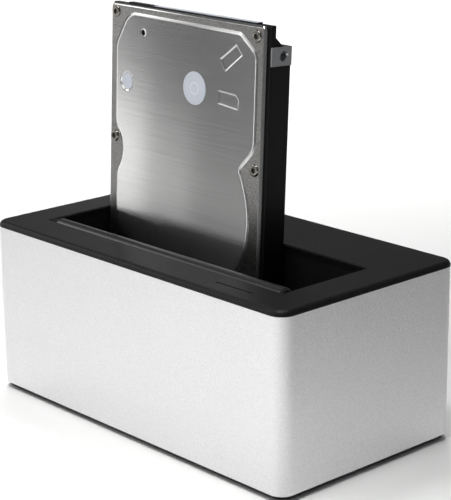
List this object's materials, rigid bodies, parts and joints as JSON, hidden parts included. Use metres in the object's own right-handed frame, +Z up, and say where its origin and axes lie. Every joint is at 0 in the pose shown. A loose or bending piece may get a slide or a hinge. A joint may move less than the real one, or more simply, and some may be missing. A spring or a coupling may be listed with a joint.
{
  "type": "hard drive docking station",
  "caption": "Desktop docking station with an upright drive slot in a satin aluminium sleeve, a hinged dust flap and a bare laptop-size hard drive standing in the slot.",
  "frame": {"origin": "on the desk under the middle of the dock", "axes": "+X along the slot to the right, +Y from the front face to the rear panel, +Z up"},
  "size_m": [0.1262, 0.0692, 0.1186],
  "materials": {
    "aluminium_sleeve": "satin anodised",
    "top_cover": "fine-grained black",
    "drive_well": "black",
    "base_plate": "black",
    "base_screws": "zinc plated",
    "rubber_feet": "matt black",
    "main_board": "green solder mask",
    "board_screws": "zinc plated",
    "bridge_chip": "moulded black",
    "crystal": "plain can",
    "capacitors": "sleeved can",
    "choke": "ferrite grey",
    "status_leds": "clear lens",
    "light_guide": "smoked clear",
    "sata_socket": "moulded black",
    "sata_contacts": "gold plated",
    "rear_panel": "fine-grained black",
    "usb_shell": "nickel plated",
    "usb_tongue": "blue",
    "usb_contacts": "gold plated",
    "power_jack": "moulded black",
    "jack_pin": "nickel plated",
    "switch_frame": "satin black",
    "switch_tabs": "plain",
    "power_rocker": "satin black",
    "hinge_pin": "ground",
    "flap_spring": "spring wire",
    "drive_flap": "fine-grained black",
    "drive_base": "black coated casting",
    "drive_lid": "brushed",
    "lid_screws": "plain",
    "large_seal": "white film",
    "small_seal": "white film",
    "drive_board": "blue solder mask",
    "drive_board_screws": "plain",
    "motor_cap": "turned",
    "drive_plug": "moulded black",
    "plug_contacts": "gold plated"
  },
  "bodies": {
    "dock": {"aluminium_sleeve": "aluminium_sleeve", "top_cover": "top_cover", "drive_well": "drive_well", "base_plate": "base_plate", "base_screws": "base_screws", "rubber_feet": "rubber_feet", "main_board": "main_board", "board_screws": "board_screws", "bridge_chip": "bridge_chip", "crystal": "crystal", "capacitors": "capacitors", "choke": "choke", "status_leds": "status_leds", "light_guide": "light_guide", "sata_socket": "sata_socket", "sata_contacts": "sata_contacts", "rear_panel": "rear_panel", "usb_shell": "usb_shell", "usb_tongue": "usb_tongue", "usb_contacts": "usb_contacts", "power_jack": "power_jack", "jack_pin": "jack_pin", "switch_frame": "switch_frame", "switch_tabs": "switch_tabs", "hinge_pin": "hinge_pin", "flap_spring": "flap_spring"},
    "flap": {"drive_flap": "drive_flap"},
    "rocker": {"power_rocker": "power_rocker"},
    "drive": {"drive_base": "drive_base", "drive_lid": "drive_lid", "lid_screws": "lid_screws", "large_seal": "large_seal", "small_seal": "small_seal", "drive_board": "drive_board", "drive_board_screws": "drive_board_screws", "motor_cap": "motor_cap", "drive_plug": "drive_plug", "plug_contacts": "plug_contacts"}
  },
  "joints": [
    {"name": "drive_slide", "type": "slide", "parent": "dock", "child": "drive", "axis": [0, 0.0501, 0.9987], "range_m": [0, 0.075]},
    {"name": "flap_hinge", "type": "hinge", "parent": "dock", "child": "flap", "pos_m": [0, -0.02055, 0.0523], "axis": [1, 0, 0], "range_deg": [0, 90]},
    {"name": "rocker_tip", "type": "hinge", "parent": "dock", "child": "rocker", "pos_m": [0.022, 0.0302, 0.02], "axis": [0, 0, 1], "range_deg": [0, 12]}
  ],
  "couplings": [
    {"joint": "flap_hinge", "follows": "drive_slide", "rad_per_m": 20.94}
  ]
}
